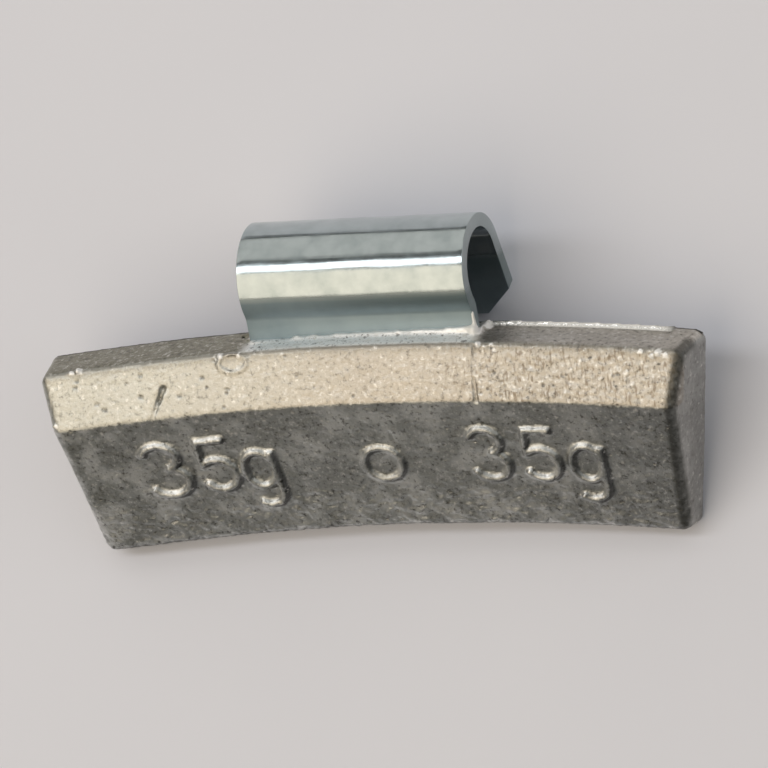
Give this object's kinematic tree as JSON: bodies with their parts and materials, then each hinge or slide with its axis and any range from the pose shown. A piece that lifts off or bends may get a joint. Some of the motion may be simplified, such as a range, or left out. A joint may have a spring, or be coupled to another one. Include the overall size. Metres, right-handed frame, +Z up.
{
  "type": "wheel balance weight",
  "caption": "Clip-on wheel balance weight: a curved, bevelled die-cast zinc bar with a bent spring steel clip cast into it, lying on its back.",
  "frame": {"origin": "middle of the weight's footprint, on the surface that it lies on", "axes": "+X along the bar, +Y from the bar to the clip's hook, +Z up, out of the bar's front face"},
  "size_m": [0.0596, 0.0271, 0.0134],
  "materials": {
    "cast_zinc": "rough as-cast zinc alloy, dull and stained",
    "plated_spring_steel": "zinc-plated spring steel strip, satin"
  },
  "bodies": {
    "root": {"cast_body": "cast_zinc", "spring_clip": "plated_spring_steel"}
  },
  "joints": []
}
